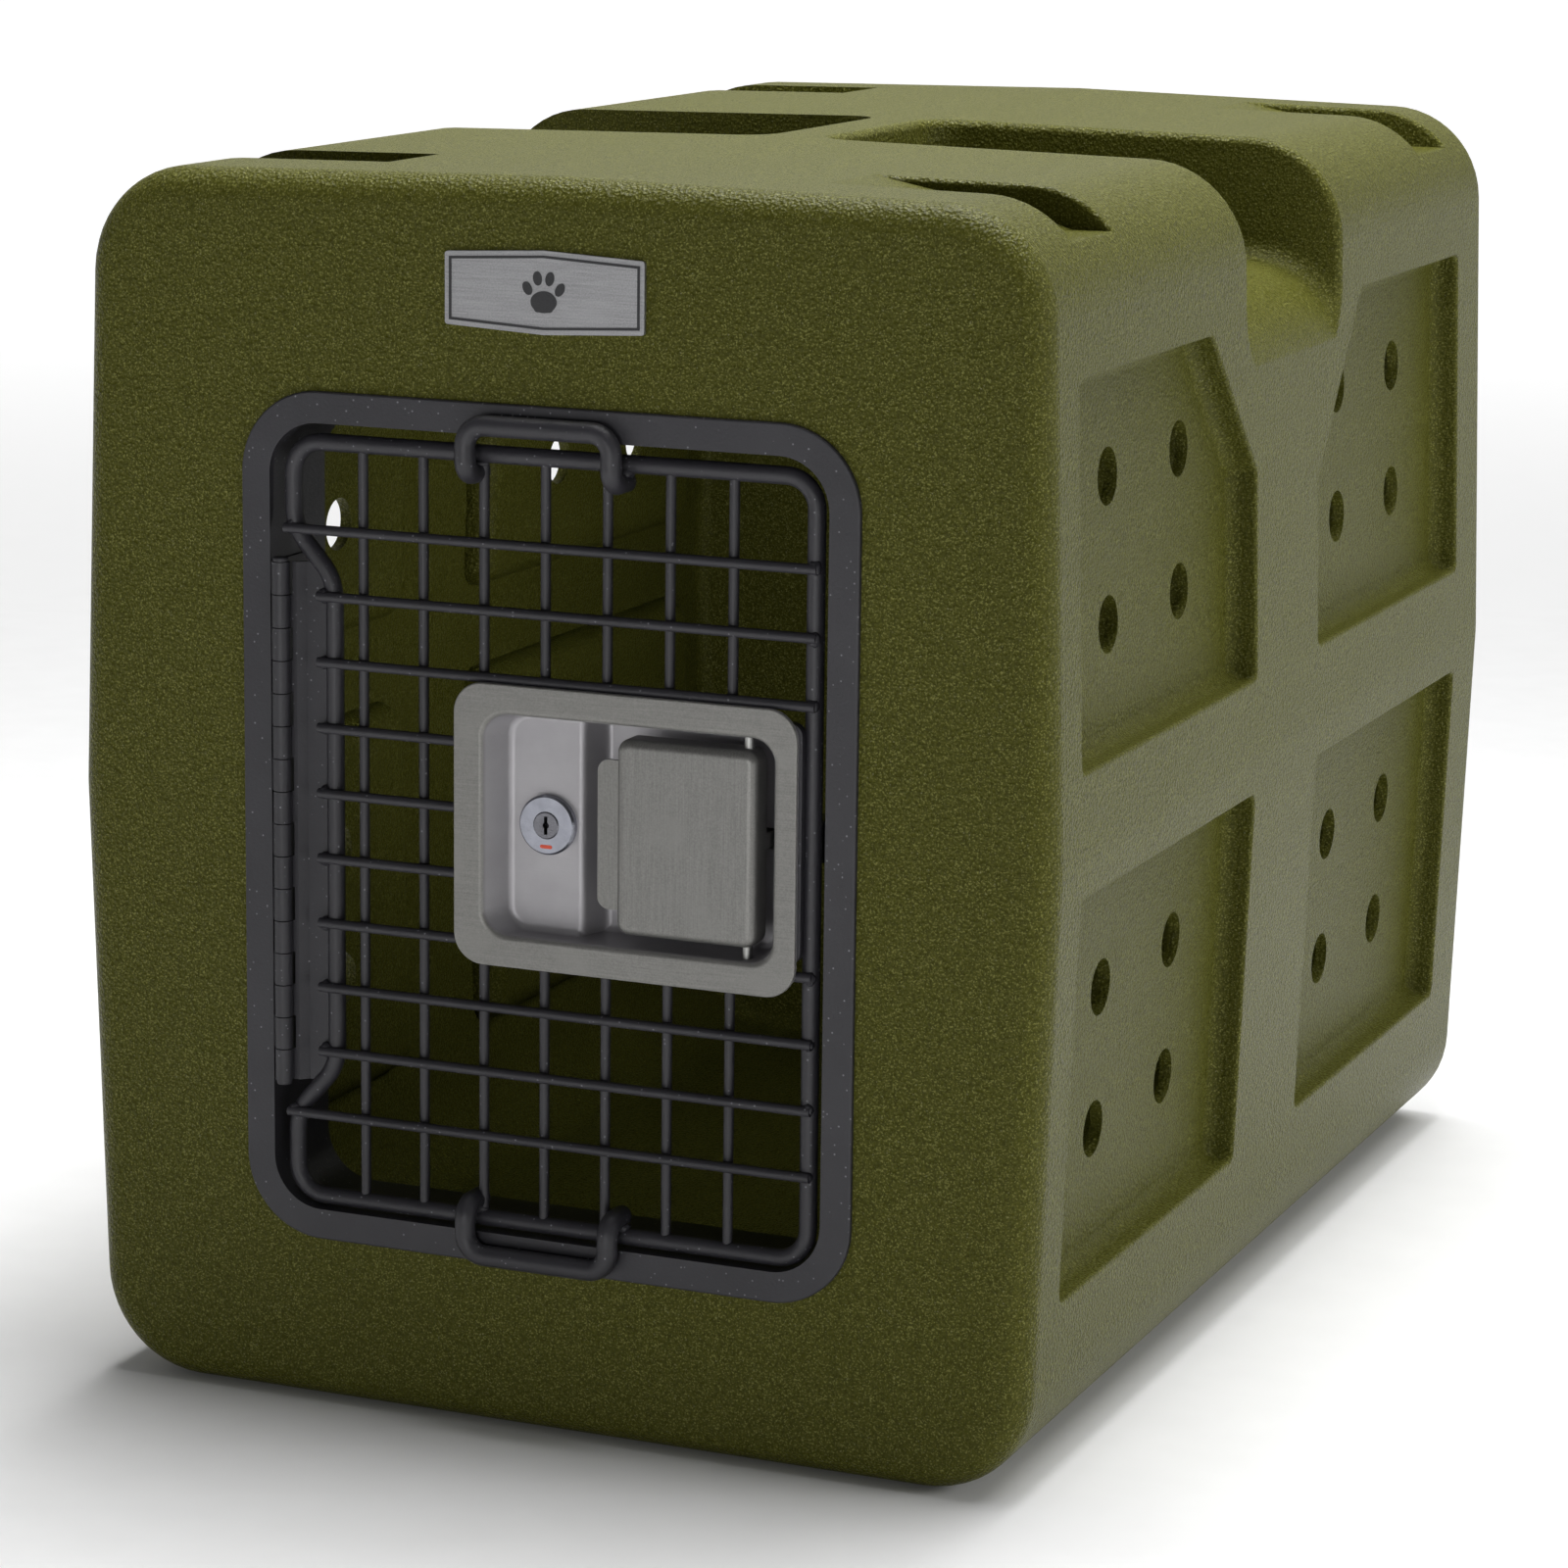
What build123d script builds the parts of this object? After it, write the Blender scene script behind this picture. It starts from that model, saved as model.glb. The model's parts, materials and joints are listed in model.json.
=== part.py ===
"""Rotomoulded pet travel kennel with a framed wire door and a paddle latch.

Frame: +X to the right seen from in front of the door, +Y from the door to the rear
wall, +Z up. The origin is on the floor, under the middle of the whole object.
All sizes are in millimetres and all angles in degrees.
"""
from build123d import *
import math
import os

os.makedirs("parts", exist_ok=True)

# ---------------------------------------------------------------- driving dimensions

# Moulded body
body_width = 404.0
body_depth = 594.0
body_height = 481.5
parting_z = 238.0
side_draft = 1.813
top_slope = 0.967
long_edge_r = 42.0
parting_r = 80.0
end_edge_r = 12.0
wall = 5.0

# Side panels: pressed-in fields with four vents each, corners from the front face and floor
panel_recess = 12.0
panel_corner_r = 4.0
panel_foot_r = 6.0
panel_rim_r = 1.6
lower_front_panel = [(34, 69.5), (244, 69.5), (244, 223), (34, 223)]
lower_rear_panel = [(331, 69.5), (547, 69.5), (547, 223), (331, 223)]
upper_front_panel = [(34, 271), (244, 271), (244, 355.5), (188, 415), (34, 415)]
upper_rear_panel = [(330, 271), (547, 271), (547, 415), (394, 415), (330, 341)]
vent_r = 11.1
vent_pitch_y = 84.0
vent_pitch_z = 56.0
vent_columns = (139.0, 438.0)
vent_rows = (147.5, 343.5)

# Carrying trench across the top, one pocket on each side of the spine
trench_front = 234.0
trench_rear = 361.0
trench_floor_z = 428.0
trench_knee_x = 156.4
trench_shoulder_r = 42.0
trench_skirt = 30.0
spine_half_width = 12.0
spine_flare_r = 15.0
trench_foot_r = 9.0
trench_rim_r = 3.5

# Tie-down strap grooves over the long edges
groove_width = 43.0
groove_starts = (51.0, 510.5)
groove_inner_x = 88.0
groove_depth = 12.5
groove_dip_x = 150.0
groove_end_x = 171.0
groove_end_z = 463.0
groove_bend_r = 12.0
groove_rim_r = 2.0

# Door frame: flat ring on the front face with a sleeve through the wall
frame_z = 232.0
ring_width = 253.0
ring_height = 331.0
ring_margin = 12.0
ring_outer_r = 32.0
ring_inner_r = 20.0
sheet = 2.0
sleeve_depth = 42.0
wall_gap = 0.5
clamp_thickness = 3.0
stud_r = 2.5
stud_hole_r = 2.75
stud_length = 13.0
stud_across = 60.0
stud_up = 100.0
frame_nut_flats = 8.0
frame_nut_height = 4.0
thread_play = 0.05
ring_edge_r = 0.8

# Door of round rod and wire, measured from the front face of the body
rod_r = 3.4
rod_depth = 4.0
rod_half_width = 107.3
rod_half_height = 147.5
door_z = 230.2
rod_corner_r = 12.0
jog_r = 20.0
jog_x = -90.0
jog_outer_half = 114.6
jog_inner_half = 95.0
wire_r = 1.95
wire_pitch = 25.4
vertical_count = 7
vertical_middle_x = -1.5
horizontal_count = 10
horizontal_middle_z = 230.3

# Piano hinge
hinge_x = -110.2
hinge_depth = -1.5
knuckle_r = 3.5
knuckle_pitch = 12.7
knuckle_gap = 0.4
knuckle_count = 16
pin_r = 1.95
pin_play = 0.05
pin_head_r = 3.0
pin_head_height = 1.6
pin_head_round = 0.6
leaf_sheet = 1.6
frame_leaf_depth = 24.0
frame_leaf_start = 2.0
leaf_root_x = -106.2
leaf_step_x = -104.8
leaf_step_run = 3.0

# Door stops
stop_r = 4.0
stop_gap = 0.5
stop_half_span = 29.8
stop_offset = 12.0
stop_bend_r = 8.0
stop_hook_r = 6.0
stop_hook_end = 7.0
stop_bite = 0.4

# Latch: pressed pan, paddle, slam bolt and cam lock
flange_front = -4.0
flange_z = 238.3
flange_x = 33.9
flange_width = 139.8
flange_height = 108.4
flange_r = 12.0
pan_sheet = 1.5
pan_left = -25.0
pan_right = 95.1
pan_bottom = 196.5
pan_top = 280.8
shelf_depth = 8.0
pan_depth = 20.0
pan_corner_r = 9.0
pan_floor_r = 3.0
pan_rim_r = 2.2
shelf_left = -17.5
shelf_right = 12.5
pan_step_x = 17.0
pan_floor_right = 90.0
flange_edge_r = 0.6
paddle_left = 31.0
paddle_right = 87.5
paddle_height = 74.5
paddle_depth = 11.0
paddle_sheet = 1.5
paddle_edge_r = 3.5
paddle_corner_r = 5.0
lip_reach = 9.5
lip_height = 57.0
lip_set_back = 3.5
lip_corner_r = 4.5
paddle_pin_x = 82.0
paddle_pin_depth = 3.0
paddle_pin_r = 2.0
tail_width = 5.0
tail_height = 6.0
tail_end = 31.0
tail_boss_r = 4.5
tail_play = 1.0
tail_slot = (67.0, 86.5)
bolt_front = 23.0
bolt_thickness = 12.0
bolt_height = 16.0
bolt_heel_x = 66.0
bolt_nose_x = 110.9
bolt_bevel = 9.0
bolt_pocket = (74.0, 87.0)
bolt_pocket_depth = 9.0
stem_r = 2.5
stem_end_x = 30.0
guide_left = 34.0
guide_right = 94.0
guide_sheet = 1.5
guide_play = 0.5
spring_wire_r = 0.6
spring_mean_r = 4.2
spring_turns = 7
spring_end_play = 0.1
lock_x = -1.6
lock_head_r = 11.5
lock_head_height = 3.0
lock_body_r = 9.0
lock_end = 29.0
lock_nut_flats = 20.0
lock_nut_height = 4.0
plug_r = 5.25
plug_play = 0.05
keyway = (1.4, 7.0)
keyway_depth = 8.0
cam_length = 16.0
cam_hub_r = 7.0
cam_sheet = 2.0
cam_tip_r = 4.0
cam_gap = 0.3
cam_screw_r = 3.5
cam_screw_height = 2.2
cam_screw_slot = 0.9
lock_head_chamfer = 0.8
lock_mark_drop = 8.2
lock_mark_width = 5.0
lock_mark_height = 1.4
lock_mark_relief = 0.1
plug_proud = 0.4
plug_chamfer = 0.4
keyway_round_r = 1.3

# Latch mounting plate and its fasteners
plate_left = -36.0
plate_top = 287.5
plate_bottom = 197.0
latch_stud_r = 2.0
latch_stud_hole_r = 2.15
latch_stud_end = 6.5
latch_stud_rows = (212.0, 266.0)
latch_stud_columns = (-32.0, 100.3)
latch_nut_flats = 7.0
latch_nut_height = 3.2
plate_overlap = 4.0
plate_weld = 1.2
plate_corner_r = 5.0
window_play = 0.3

# Strike on the frame
strike_rows = (203.0, 271.0)
strike_depths = (9.0, 39.0)
strike_window = (19.0, 37.0)
strike_window_half = 10.0
strike_corner_r = 3.0

# Badge
badge_z = 439.5
badge_width = 81.0
badge_end_height = 27.0
badge_mid_height = 31.0
badge_sheet = 1.6
badge_corner_r = 1.2
badge_border_inset = 1.8
badge_border_width = 0.9
badge_relief = 0.4
paw_pad_z = -3.4
paw_pad_radii = (5.2, 4.0)
paw_heel_z = -5.6
paw_heel = (7.6, 3.2, 1.4)
paw_toe_radii = (1.7, 2.6)
paw_toes = ((-6.6, 1.4, 28), (-2.5, 5.2, 10), (2.5, 5.2, -10), (6.6, 1.4, -28))

# How far cutting blocks run past the outer skin
cut_overrun = 20.0

# ---------------------------------------------------------------- shared geometry

stop_proud = sheet + stop_gap + 2 * stop_r
front_y = stop_proud - (body_depth + stop_proud) / 2
bolt_z = (pan_bottom + pan_top) / 2
opening_half_width = ring_width / 2 - ring_margin
opening_half_height = ring_height / 2 - ring_margin
door_top = door_z + rod_half_height
door_bottom = door_z - rod_half_height
side_stud_x = opening_half_width + sheet + (ring_margin - sheet) / 2
cap_stud_z = opening_half_height + sheet + (ring_margin - sheet) / 2
stud_places = [(x, z) for x in (-side_stud_x, side_stud_x) for z in (-stud_up, 0, stud_up)]
stud_places += [(x, z) for x in (-stud_across, stud_across) for z in (-cap_stud_z, cap_stud_z)]


def front_plane(depth, x=0.0, z=0.0):
    """Plane of X and Z at a depth behind the front face; a minus extrudes backwards."""
    return Plane(origin=(x, front_y + depth, z), x_dir=(1, 0, 0), z_dir=(0, -1, 0))


def across_plane(x):
    """Plane of Y (from the front face) and Z, facing +X."""
    return Plane(origin=(x, front_y, 0), x_dir=(0, 1, 0), z_dir=(1, 0, 0))


def level_plane(z):
    """Horizontal plane with Y counted from the front face."""
    return Plane.XY.offset(z).move(Location((0, front_y, 0)))


# ---------------------------------------------------------------- moulded body


def envelope(inset):
    """Block inside the outer skin, moved inwards by inset."""
    shoulder = body_width / 2 - (body_height - parting_z) * math.tan(math.radians(side_draft))
    shoulder_z = body_height - shoulder * math.tan(math.radians(top_slope))
    base = body_width / 2 - parting_z * math.tan(math.radians(side_draft))
    with BuildPart() as block:
        with BuildSketch(front_plane(inset)) as section:
            with BuildLine():
                Polyline(
                    (-base, 0),
                    (base, 0),
                    (body_width / 2, parting_z),
                    (shoulder, shoulder_z),
                    (0, body_height),
                    (-shoulder, shoulder_z),
                    (-body_width / 2, parting_z),
                    close=True,
                )
            make_face()
            by_height = section.vertices().sort_by(Axis.Y)
            fillet(by_height[0:2] + by_height[4:6], radius=long_edge_r)
            parting = section.vertices().filter_by_position(Axis.Y, parting_z - 1, parting_z + 1)
            fillet(parting, radius=parting_r)
            if inset:
                offset(amount=-inset)
        extrude(amount=-(body_depth - 2 * inset))
        fillet(block.faces().filter_by(Axis.Y).edges(), radius=end_edge_r - inset)
    return block.part


def side_plane(upper, sink):
    """Right side wall's plane above or below the parting line, sunk inwards."""
    lean = math.radians(side_draft if upper else -side_draft)
    plane = Plane(
        origin=(body_width / 2, front_y, parting_z),
        x_dir=(0, 1, 0),
        z_dir=(math.cos(lean), 0, math.sin(lean)),
    )
    return plane.offset(-sink)


def panel_block(upper, corners, grow):
    """Block that presses one right-hand panel in, grown for the inner skin."""
    clear_of_skin = 15.0
    with BuildPart() as block:
        with BuildSketch(side_plane(upper, panel_recess + grow)) as field:
            with BuildLine():
                Polyline([(y, z - parting_z) for y, z in corners], close=True)
            make_face()
            fillet(field.vertices(), radius=panel_corner_r)
            if grow:
                offset(amount=grow)
        extrude(amount=panel_recess + grow + clear_of_skin)
        foot = block.faces().sort_by(Axis.X)[0].edges()
        fillet(foot, radius=panel_foot_r + grow)
    return block.part


def trench_block(grow):
    """Right-hand handle pocket, open towards the side, grown for the inner skin."""
    far_x = body_width / 2 + cut_overrun
    far_z = body_height + cut_overrun
    arc_z = trench_floor_z - trench_shoulder_r
    skirt_z = arc_z - trench_skirt
    with BuildPart() as block:
        with BuildSketch(front_plane(trench_front - grow)):
            with BuildLine():
                CenterArc((trench_knee_x, arc_z), trench_shoulder_r, 0, 90)
                Polyline(
                    (trench_knee_x, trench_floor_z),
                    (spine_half_width, trench_floor_z),
                    (spine_half_width, far_z),
                    (far_x, far_z),
                    (far_x, skirt_z),
                    (trench_knee_x + trench_shoulder_r, skirt_z),
                    (trench_knee_x + trench_shoulder_r, arc_z),
                )
            make_face()
            if grow:
                offset(amount=grow, kind=Kind.INTERSECTION)
        extrude(amount=-(trench_rear - trench_front + 2 * grow))
        flares = block.edges().filter_by(Axis.Z).group_by(Axis.X)[0]
        fillet(flares, radius=spine_flare_r - grow)
        level = trench_floor_z - grow
        floor = block.faces().filter_by_position(Axis.Z, level - 0.1, level + 0.1)
        fillet(floor.edges().sort_by(Axis.X)[:-1], radius=trench_foot_r + grow)
    return block.part


def groove_block(start, grow):
    """Right-hand strap groove over the long edge, grown for the inner skin."""
    far_x = body_width / 2 + cut_overrun
    far_z = body_height + cut_overrun
    with BuildPart() as block:
        with BuildSketch(front_plane(start - grow)) as profile:
            with BuildLine():
                inner = (groove_inner_x, body_height - 1)
                dip = (groove_dip_x, body_height - groove_depth)
                end = (groove_end_x, groove_end_z)
                Polyline(
                    inner,
                    dip,
                    end,
                    (far_x, groove_end_z),
                    (far_x, far_z),
                    (groove_inner_x, far_z),
                    close=True,
                )
            make_face()
            bend_places = (Vector(*dip), Vector(*end))
            bends = profile.vertices().filter_by(lambda corner: corner.position in bend_places)
            fillet(bends, radius=groove_bend_r)
            if grow:
                offset(amount=grow, kind=Kind.INTERSECTION)
        extrude(amount=-(groove_width + 2 * grow))
    return block.part


def both_sides(block):
    """A right-hand block with its mirror image on the left."""
    return [block, mirror(block, about=Plane.YZ)]


def panel_blocks(grow):
    """All eight panel blocks."""
    blocks = []
    for upper, corners in (
        (False, lower_front_panel),
        (False, lower_rear_panel),
        (True, upper_front_panel),
        (True, upper_rear_panel),
    ):
        blocks += both_sides(panel_block(upper, corners, grow))
    return blocks


def groove_blocks(grow):
    """All four strap groove blocks."""
    blocks = []
    for start in groove_starts:
        blocks += both_sides(groove_block(start, grow))
    return blocks


with BuildPart() as cabin_space:
    add(envelope(wall))
    add(panel_blocks(wall), mode=Mode.SUBTRACT)
    add(both_sides(trench_block(wall)), mode=Mode.SUBTRACT)
    add(groove_blocks(wall), mode=Mode.SUBTRACT)

with BuildPart() as body_shell:
    add(envelope(0))
    add(panel_blocks(0), mode=Mode.SUBTRACT)
    fillet(body_shell.edges(Select.NEW), radius=panel_rim_r)
    add(both_sides(trench_block(0)), mode=Mode.SUBTRACT)
    fillet(body_shell.edges(Select.NEW), radius=trench_rim_r)
    add(groove_blocks(0), mode=Mode.SUBTRACT)
    fillet(body_shell.edges(Select.NEW), radius=groove_rim_r)
    add(cabin_space.part, mode=Mode.SUBTRACT)
    with BuildSketch(front_plane(-1)):
        with Locations((0, frame_z)):
            RectangleRounded(
                2 * (opening_half_width + sheet + wall_gap),
                2 * (opening_half_height + sheet + wall_gap),
                ring_inner_r + sheet + wall_gap,
            )
            with Locations(stud_places):
                Circle(stud_hole_r)
    extrude(amount=-(wall + 2), mode=Mode.SUBTRACT)
    for row in vent_rows:
        with BuildSketch(across_plane(0)):
            for column in vent_columns:
                with Locations((column, row)):
                    with GridLocations(vent_pitch_y, vent_pitch_z, 2, 2):
                        Circle(vent_r)
        extrude(amount=body_width, both=True, mode=Mode.SUBTRACT)

body_shell.part.label = "body_shell"
export_step(body_shell.part, "parts/body_shell.step")

# ---------------------------------------------------------------- badge


def badge_outline(shrink):
    """Corners of the badge: level ends, slightly pointed top and bottom."""
    half = badge_width / 2 - shrink
    end = badge_end_height / 2 - shrink
    mid = badge_mid_height / 2 - shrink
    return [(-half, -end), (0, -mid), (half, -end), (half, end), (0, mid), (-half, end)]


with BuildPart() as badge_plate:
    with BuildSketch(front_plane(0, z=badge_z)) as plate_face:
        with BuildLine():
            Polyline(badge_outline(0), close=True)
        make_face()
        fillet(plate_face.vertices(), radius=badge_corner_r)
    extrude(amount=badge_sheet)

badge_plate.part.label = "badge_plate"
export_step(badge_plate.part, "parts/badge_plate.step")

with BuildPart() as badge_border:
    with BuildSketch(front_plane(-badge_sheet, z=badge_z)):
        with BuildLine():
            Polyline(badge_outline(badge_border_inset), close=True)
        make_face()
        with BuildLine():
            Polyline(badge_outline(badge_border_inset + badge_border_width), close=True)
        make_face(mode=Mode.SUBTRACT)
    extrude(amount=badge_relief)

badge_border.part.label = "badge_border"
export_step(badge_border.part, "parts/badge_border.step")

# A plain paw print: one pad and four toes
with BuildPart() as badge_paw:
    with BuildSketch(front_plane(-badge_sheet, z=badge_z)):
        with Locations((0, paw_pad_z)):
            Ellipse(*paw_pad_radii)
        with Locations((0, paw_heel_z)):
            RectangleRounded(*paw_heel)
        for toe_x, toe_z, toe_turn in paw_toes:
            with Locations(Location((toe_x, toe_z, 0), toe_turn)):
                Ellipse(*paw_toe_radii)
    extrude(amount=badge_relief)

badge_paw.part.label = "badge_paw"
export_step(badge_paw.part, "parts/badge_paw.step")

# ---------------------------------------------------------------- door frame

opening = (2 * opening_half_width, 2 * opening_half_height, ring_inner_r)
sleeve = (opening[0] + 2 * sheet, opening[1] + 2 * sheet, ring_inner_r + sheet)
strike_z = sum(strike_rows) / 2

with BuildPart() as door_frame:
    with BuildSketch(front_plane(0, z=frame_z)):
        RectangleRounded(ring_width, ring_height, ring_outer_r)
    extrude(amount=sheet)
    ring_rim = door_frame.faces().sort_by(Axis.Y)[0].outer_wire().edges()
    fillet(ring_rim, radius=ring_edge_r)
    with BuildSketch(front_plane(0, z=frame_z)):
        RectangleRounded(*sleeve)
    extrude(amount=-sleeve_depth)
    with BuildSketch(front_plane(-sheet, z=frame_z)):
        RectangleRounded(*opening)
    extrude(amount=-(sleeve_depth + sheet), mode=Mode.SUBTRACT)
    with BuildSketch(across_plane(opening_half_width - 1)):
        with Locations((sum(strike_window) / 2, bolt_z)):
            Rectangle(strike_window[1] - strike_window[0], 2 * strike_window_half)
    extrude(amount=2 + sheet, mode=Mode.SUBTRACT)

door_frame.part.label = "door_frame"
export_step(door_frame.part, "parts/door_frame.step")

with BuildPart() as frame_studs:
    with BuildSketch(front_plane(0, z=frame_z)):
        with Locations(stud_places):
            Circle(stud_r)
    extrude(amount=-stud_length)

frame_studs.part.label = "frame_studs"
export_step(frame_studs.part, "parts/frame_studs.step")

with BuildPart() as clamp_ring:
    with BuildSketch(front_plane(wall, z=frame_z)):
        RectangleRounded(ring_width, ring_height, ring_outer_r)
        RectangleRounded(
            sleeve[0] + 2 * wall_gap, sleeve[1] + 2 * wall_gap, sleeve[2] + wall_gap, mode=Mode.SUBTRACT
        )
        with Locations(stud_places):
            Circle(stud_hole_r, mode=Mode.SUBTRACT)
    extrude(amount=-clamp_thickness)

clamp_ring.part.label = "clamp_ring"
export_step(clamp_ring.part, "parts/clamp_ring.step")

with BuildPart() as frame_nuts:
    with BuildSketch(front_plane(wall + clamp_thickness, z=frame_z)):
        with Locations(stud_places):
            RegularPolygon(frame_nut_flats / 2, 6, major_radius=False)
            Circle(stud_r + thread_play, mode=Mode.SUBTRACT)
    extrude(amount=-frame_nut_height)

frame_nuts.part.label = "frame_nuts"
export_step(frame_nuts.part, "parts/frame_nuts.step")

with BuildPart() as strike_plate:
    with BuildSketch(across_plane(opening_half_width - sheet)):
        with Locations((sum(strike_depths) / 2, strike_z)):
            RectangleRounded(
                strike_depths[1] - strike_depths[0], strike_rows[1] - strike_rows[0], strike_corner_r
            )
        with Locations((sum(strike_window) / 2, bolt_z)):
            Rectangle(
                strike_window[1] - strike_window[0], 2 * strike_window_half, mode=Mode.SUBTRACT
            )
    extrude(amount=sheet)

strike_plate.part.label = "strike_plate"
export_step(strike_plate.part, "parts/strike_plate.step")

# ---------------------------------------------------------------- hinge

hinge_bottom = door_z - knuckle_count * knuckle_pitch / 2
hinge_top = door_z + knuckle_count * knuckle_pitch / 2
knuckle_length = knuckle_pitch - knuckle_gap
knuckle_starts = [
    hinge_bottom + knuckle_gap / 2 + index * knuckle_pitch for index in range(knuckle_count)
]
door_knuckles = knuckle_starts[0::2]
frame_knuckles = knuckle_starts[1::2]

with BuildPart() as hinge_frame_leaf:
    with BuildSketch(level_plane(hinge_bottom + knuckle_gap / 2)):
        with Locations((-opening_half_width + leaf_sheet / 2, (frame_leaf_start + frame_leaf_depth) / 2)):
            Rectangle(leaf_sheet, frame_leaf_depth - frame_leaf_start)
    extrude(amount=hinge_top - hinge_bottom - knuckle_gap)
    for start in frame_knuckles:
        with BuildSketch(level_plane(start)):
            with Locations((hinge_x, hinge_depth)):
                Circle(knuckle_r)
            with Locations((-opening_half_width + leaf_sheet / 2, (hinge_depth + frame_leaf_start) / 2)):
                Rectangle(leaf_sheet, frame_leaf_start - hinge_depth)
        extrude(amount=knuckle_length)
    with BuildSketch(level_plane(hinge_bottom)):
        with Locations((hinge_x, hinge_depth)):
            Circle(pin_r + pin_play)
    extrude(amount=hinge_top - hinge_bottom, mode=Mode.SUBTRACT)

hinge_frame_leaf.part.label = "hinge_frame_leaf"
export_step(hinge_frame_leaf.part, "parts/hinge_frame_leaf.step")

with BuildPart() as hinge_pin:
    with BuildSketch(level_plane(hinge_bottom)):
        with Locations((hinge_x, hinge_depth)):
            Circle(pin_r)
    extrude(amount=hinge_top - hinge_bottom)
    for start, reach in ((hinge_bottom, -pin_head_height), (hinge_top, pin_head_height)):
        with BuildSketch(level_plane(start)):
            with Locations((hinge_x, hinge_depth)):
                Circle(pin_head_r)
        extrude(amount=reach)
    fillet(hinge_pin.edges().group_by(Axis.Z)[0], radius=pin_head_round)
    fillet(hinge_pin.edges().group_by(Axis.Z)[-1], radius=pin_head_round)

hinge_pin.part.label = "hinge_pin"
export_step(hinge_pin.part, "parts/hinge_pin.step")

# ---------------------------------------------------------------- door

with BuildPart() as door_rod:
    with BuildLine(front_plane(rod_depth, z=door_z)) as rod_line:
        FilletPolyline(
            (rod_half_width, -rod_half_height),
            (rod_half_width, rod_half_height),
            (-rod_half_width, rod_half_height),
            (-rod_half_width, jog_outer_half),
            (jog_x, jog_inner_half),
            (jog_x, -jog_inner_half),
            (-rod_half_width, -jog_outer_half),
            (-rod_half_width, -rod_half_height),
            radius=[rod_corner_r, rod_corner_r, rod_corner_r, jog_r, jog_r, jog_r, jog_r, rod_corner_r],
            close=True,
        )
    with BuildSketch(Plane(origin=rod_line.line @ 0, z_dir=rod_line.line % 0)):
        Circle(rod_r)
    sweep()

door_rod.part.label = "door_rod"
export_step(door_rod.part, "parts/door_rod.step")
horizontal_depth = rod_depth - 2 * wire_r


def wire_row(index):
    """Height of a horizontal wire, counted down from the top."""
    return horizontal_middle_z + ((horizontal_count - 1) / 2 - index) * wire_pitch


def wire_column(index):
    """Sideways place of a vertical wire, counted from the left."""
    return vertical_middle_x + (index - (vertical_count - 1) / 2) * wire_pitch


# Wires that meet the latch are cut: an upper length ends on the latch plate, a lower on a wire
lower_end = wire_row(horizontal_count - 4) + wire_r
upper_start = plate_top - plate_overlap
vertical_wires = []
for index in range(vertical_count):
    if wire_column(index) < plate_left:
        spans = {"": (door_bottom, door_top)}
    else:
        spans = {"_lower": (door_bottom, lower_end), "_upper": (upper_start, door_top)}
    for part_of_wire, (low, high) in spans.items():
        with BuildPart() as vertical_wire:
            with BuildSketch(level_plane(low)):
                with Locations((wire_column(index), rod_depth)):
                    Circle(wire_r)
            extrude(amount=high - low)
            add(door_rod.part, mode=Mode.SUBTRACT)
        name = f"vertical_wire_{index + 1}{part_of_wire}"
        vertical_wire.part.label = name
        export_step(vertical_wire.part, f"parts/{name}.step")
        vertical_wires.append(vertical_wire.part)

for index in range(horizontal_count):
    z = wire_row(index)
    at_jog = abs(z - door_z) > jog_inner_half + rod_r
    left = -rod_half_width - wire_r if at_jog else jog_x - rod_r - wire_r
    right = rod_half_width + wire_r
    cut_by_latch = plate_bottom < z < plate_top
    with BuildPart() as horizontal_wire:
        with BuildSketch(across_plane(left)):
            with Locations((horizontal_depth, z)):
                Circle(wire_r)
        extrude(amount=(plate_left if cut_by_latch else right) - left)
        add(door_rod.part, mode=Mode.SUBTRACT)
    name = f"horizontal_wire_{index + 1}"
    horizontal_wire.part.label = name
    export_step(horizontal_wire.part, f"parts/{name}.step")

# Hinge leaf on the door: rolled knuckles, set back to the middle of the rod
leaf_back = hinge_depth + knuckle_r - leaf_sheet / 2
with BuildPart() as hinge_door_leaf:
    with BuildSketch(level_plane(hinge_bottom + knuckle_gap / 2)):
        with BuildLine():
            Polyline(
                (leaf_root_x, leaf_back),
                (leaf_step_x, leaf_back),
                (leaf_step_x + leaf_step_run, rod_depth),
                (jog_x, rod_depth),
            )
        trace(line_width=leaf_sheet)
    extrude(amount=hinge_top - hinge_bottom - knuckle_gap)
    for start in door_knuckles:
        with BuildSketch(level_plane(start)):
            with Locations((hinge_x, hinge_depth)):
                Circle(knuckle_r)
            with Locations(((hinge_x + leaf_root_x) / 2, leaf_back)):
                Rectangle(leaf_root_x - hinge_x, leaf_sheet)
        extrude(amount=knuckle_length)
    with BuildSketch(level_plane(hinge_bottom)):
        with Locations((hinge_x, hinge_depth)):
            Circle(pin_r + pin_play)
    extrude(amount=hinge_top - hinge_bottom, mode=Mode.SUBTRACT)
    add(door_rod.part, mode=Mode.SUBTRACT)

# The offcuts beyond the rod are dropped
door_leaf = hinge_door_leaf.solids().sort_by(SortBy.VOLUME)[-1]
door_leaf.label = "hinge_door_leaf"
export_step(door_leaf, "parts/hinge_door_leaf.step")


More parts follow.
